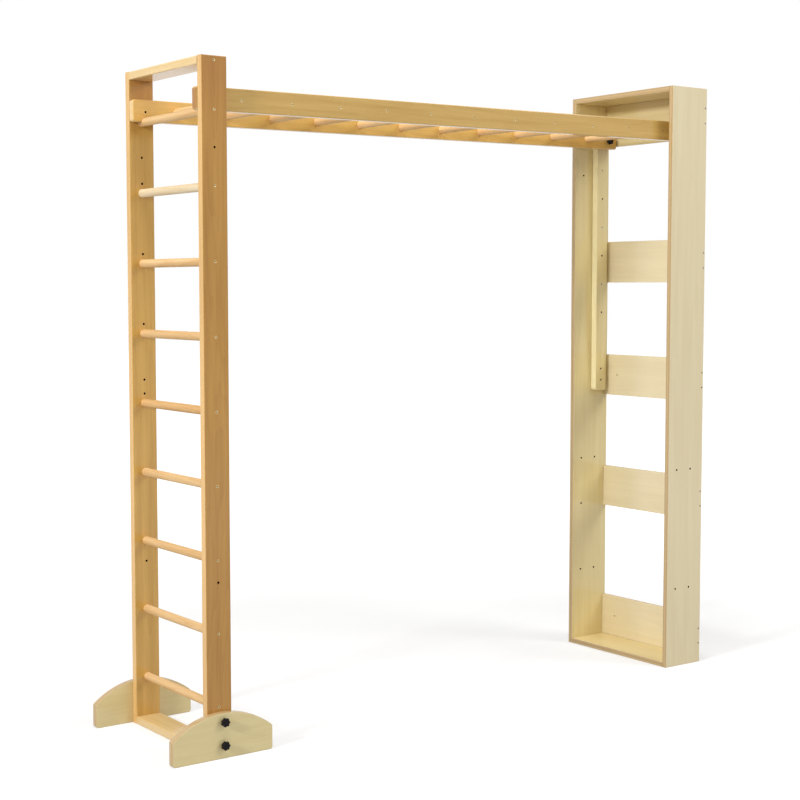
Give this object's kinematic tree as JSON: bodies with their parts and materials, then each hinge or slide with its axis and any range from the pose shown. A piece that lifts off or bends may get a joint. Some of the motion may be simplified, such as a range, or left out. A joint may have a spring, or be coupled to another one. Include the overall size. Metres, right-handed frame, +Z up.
{
  "type": "swedish wall bars",
  "caption": "Wooden climbing set: open wall frame with back slats, free-standing rung ladder on half-moon feet, and an overhead monkey-bar ladder bolted and hooked between them.",
  "frame": {"origin": "on the floor, under the middle of the set's length and width", "axes": "+X from the free ladder to the wall, +Y to the left of someone who faces the wall, +Z up"},
  "size_m": [2.509, 0.6492, 2.405],
  "materials": {
    "ladder_wood": "clear satin lacquer on honey-coloured solid beech",
    "panel_wood": "clear satin lacquer on pale birch plywood",
    "knob_plastic": "black moulded plastic, semi-gloss",
    "insert_steel": "zinc-plated threaded insert",
    "spacer_plastic": "black moulded spacer"
  },
  "bodies": {
    "wall_box": {"box_side_left": "panel_wood", "box_side_right": "panel_wood", "box_top": "panel_wood", "box_bottom": "panel_wood", "back_slat_1": "panel_wood", "back_slat_2": "panel_wood", "back_slat_3": "panel_wood", "back_slat_4": "panel_wood", "back_slat_5": "panel_wood", "hanger_cleat_left": "panel_wood", "hanger_cleat_right": "panel_wood", "wall_insert_left": "insert_steel", "wall_insert_right": "insert_steel", "wall_spacer_left": "spacer_plastic", "wall_spacer_right": "spacer_plastic"},
    "overhead_ladder": {"rail_left": "ladder_wood", "rail_right": "ladder_wood", "overhead_rung_01": "ladder_wood", "overhead_rung_02": "ladder_wood", "overhead_rung_03": "ladder_wood", "overhead_rung_04": "ladder_wood", "overhead_rung_05": "ladder_wood", "overhead_rung_06": "ladder_wood", "overhead_rung_07": "ladder_wood", "overhead_rung_08": "ladder_wood", "overhead_rung_09": "ladder_wood", "overhead_rung_10": "ladder_wood", "overhead_rung_11": "ladder_wood"},
    "free_ladder": {"upright_left": "ladder_wood", "upright_right": "ladder_wood", "ladder_top_board": "ladder_wood", "ladder_bottom_board": "ladder_wood", "ladder_rung_1": "ladder_wood", "ladder_rung_2": "ladder_wood", "ladder_rung_3": "ladder_wood", "ladder_rung_4": "ladder_wood", "ladder_rung_5": "ladder_wood", "ladder_rung_6": "ladder_wood", "ladder_rung_7": "ladder_wood", "ladder_rung_8": "ladder_wood", "ladder_rung_9": "ladder_wood", "foot_left": "panel_wood", "foot_right": "panel_wood", "foot_insert_left_upper": "insert_steel", "foot_insert_left_lower": "insert_steel", "foot_insert_right_upper": "insert_steel", "foot_insert_right_lower": "insert_steel"},
    "wall_knob_left": {"wall_knob_left": "knob_plastic"},
    "wall_knob_right": {"wall_knob_right": "knob_plastic"},
    "foot_knob_left_upper": {"foot_knob_left_upper": "knob_plastic"},
    "foot_knob_left_lower": {"foot_knob_left_lower": "knob_plastic"},
    "foot_knob_right_upper": {"foot_knob_right_upper": "knob_plastic"},
    "foot_knob_right_lower": {"foot_knob_right_lower": "knob_plastic"}
  },
  "joints": [
    {"name": "overhead_lift", "type": "hinge", "parent": "wall_box", "child": "overhead_ladder", "pos_m": [1.18745, 0, 2.225], "axis": [0, 1, 0], "range_deg": [0, 1]},
    {"name": "ladder_swing", "type": "hinge", "parent": "wall_box", "child": "free_ladder", "pos_m": [-1.06245, 0, 2.17], "axis": [0, 1, 0], "range_deg": [-12, 12]},
    {"name": "wall_knob_left_turn", "type": "hinge", "parent": "wall_box", "child": "wall_knob_left", "pos_m": [1.18745, 0, 2.225], "axis": [0, 1, 0], "continuous": true},
    {"name": "wall_knob_right_turn", "type": "hinge", "parent": "wall_box", "child": "wall_knob_right", "pos_m": [1.18745, 0, 2.225], "axis": [0, 1, 0], "continuous": true},
    {"name": "foot_knob_left_upper_turn", "type": "hinge", "parent": "free_ladder", "child": "foot_knob_left_upper", "pos_m": [-1.06245, 0, 0.126], "axis": [0, 1, 0], "continuous": true},
    {"name": "foot_knob_left_lower_turn", "type": "hinge", "parent": "free_ladder", "child": "foot_knob_left_lower", "pos_m": [-1.06245, 0, 0.046], "axis": [0, 1, 0], "continuous": true},
    {"name": "foot_knob_right_upper_turn", "type": "hinge", "parent": "free_ladder", "child": "foot_knob_right_upper", "pos_m": [-1.06245, 0, 0.126], "axis": [0, 1, 0], "continuous": true},
    {"name": "foot_knob_right_lower_turn", "type": "hinge", "parent": "free_ladder", "child": "foot_knob_right_lower", "pos_m": [-1.06245, 0, 0.046], "axis": [0, 1, 0], "continuous": true}
  ]
}
